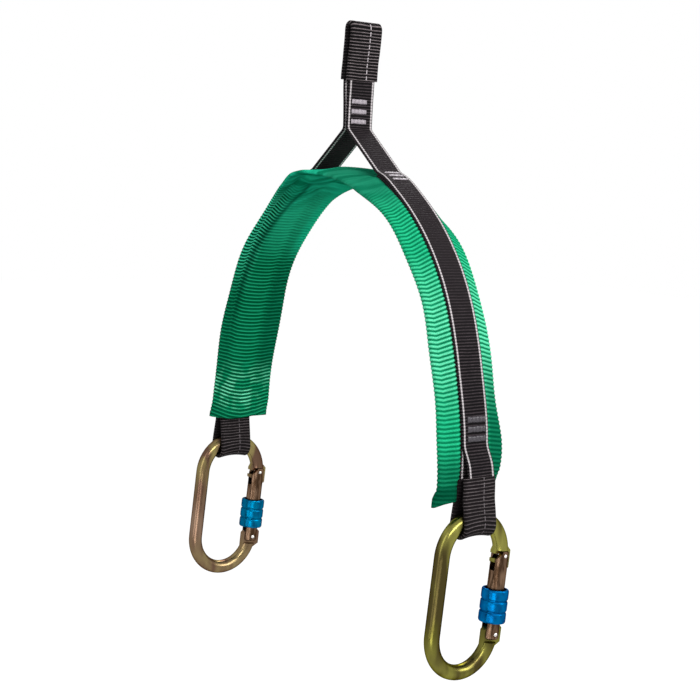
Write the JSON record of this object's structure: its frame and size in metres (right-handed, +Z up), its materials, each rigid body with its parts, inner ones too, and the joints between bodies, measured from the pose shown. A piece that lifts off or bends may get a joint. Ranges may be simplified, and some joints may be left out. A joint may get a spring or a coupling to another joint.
{
  "type": "flat web sling",
  "caption": "Webbing sling with a sleeved hanging eye, a green tubular protector band arched between its legs, and an oval screw-gate carabiner in each lower eye.",
  "frame": {"origin": "crown of the top eye, on its inside, where a hook bears", "axes": "+Z up along the stem, +X along the span from leg to leg, +Y across the webbing towards the side of the carabiners' gates"},
  "size_m": [0.299, 0.0666, 0.4156],
  "materials": {
    "webbing_black": "woven polyester webbing with fine white tracer threads, matt",
    "band_green": "tubular woven polyester with fine cross ribs, slight sheen",
    "sleeve_black": "tubular woven wear sleeve with a dashed marker thread, matt",
    "thread_grey": "dense zigzag stitching in light grey thread",
    "thread_dark": "dense zigzag stitching in dark thread",
    "steel_yellow_zinc": "yellow-passivated zinc plate, satin",
    "steel_bronze_zinc": "yellow-passivated zinc plate turned bronze, satin",
    "steel_bright": "plain bright steel",
    "aluminium_blue": "blue anodised, glossy"
  },
  "bodies": {
    "root": {"main_webbing": "webbing_black", "protector_band": "band_green", "top_eye_sleeve": "sleeve_black", "left_eye_sleeve": "sleeve_black", "right_eye_sleeve": "sleeve_black", "stem_bar_tacks": "thread_grey", "left_shoulder_tacks": "thread_grey", "right_shoulder_tacks": "thread_grey", "left_eye_tacks": "thread_dark", "right_eye_tacks": "thread_dark"},
    "left_carabiner": {"left_carabiner_body": "steel_yellow_zinc"},
    "left_gate": {"left_gate": "steel_bronze_zinc", "left_hinge_rivet": "steel_bright", "left_latch_pin": "steel_bright", "left_gate_spring": "steel_bright"},
    "left_plunger": {"left_plunger": "steel_bright"},
    "left_lock": {"left_lock_nut": "aluminium_blue"},
    "right_carabiner": {"right_carabiner_body": "steel_yellow_zinc"},
    "right_gate": {"right_gate": "steel_bronze_zinc", "right_hinge_rivet": "steel_bright", "right_latch_pin": "steel_bright", "right_gate_spring": "steel_bright"},
    "right_plunger": {"right_plunger": "steel_bright"},
    "right_lock": {"right_lock_nut": "aluminium_blue"}
  },
  "joints": [
    {"name": "left_swing", "type": "hinge", "parent": "root", "child": "left_carabiner", "pos_m": [-0.13856, 0, -0.3103], "axis": [0, 1, 0], "range_deg": [-60, 60]},
    {"name": "left_gate_hinge", "type": "hinge", "parent": "left_carabiner", "child": "left_gate", "pos_m": [-0.13856, 0.02046, -0.38603], "axis": [1, 0, 0], "range_deg": [0, 26], "stiffness_Nm_per_rad": 0.3, "springref_deg": -28.65},
    {"name": "left_plunger_slide", "type": "slide", "parent": "left_gate", "child": "left_plunger", "axis": [0, 0.0872, 0.9962], "range_m": [0, 0.0015], "deforming": ["left_gate_spring"]},
    {"name": "left_lock_slide", "type": "slide", "parent": "left_gate", "child": "left_lock", "axis": [0, 0.0872, 0.9962], "range_m": [0, 0.024]},
    {"name": "right_swing", "type": "hinge", "parent": "root", "child": "right_carabiner", "pos_m": [0.13856, 0, -0.3103], "axis": [0, 1, 0], "range_deg": [-60, 60]},
    {"name": "right_gate_hinge", "type": "hinge", "parent": "right_carabiner", "child": "right_gate", "pos_m": [0.13856, 0.02046, -0.38603], "axis": [1, 0, 0], "range_deg": [0, 26], "stiffness_Nm_per_rad": 0.3, "springref_deg": -28.65},
    {"name": "right_plunger_slide", "type": "slide", "parent": "right_gate", "child": "right_plunger", "axis": [0, 0.0872, 0.9962], "range_m": [0, 0.0015], "deforming": ["right_gate_spring"]},
    {"name": "right_lock_slide", "type": "slide", "parent": "right_gate", "child": "right_lock", "axis": [0, 0.0872, 0.9962], "range_m": [0, 0.024]}
  ],
  "couplings": [
    {"joint": "left_plunger_slide", "follows": "left_gate_hinge", "m_per_rad": 0.00308},
    {"joint": "right_plunger_slide", "follows": "right_gate_hinge", "m_per_rad": 0.00308}
  ]
}
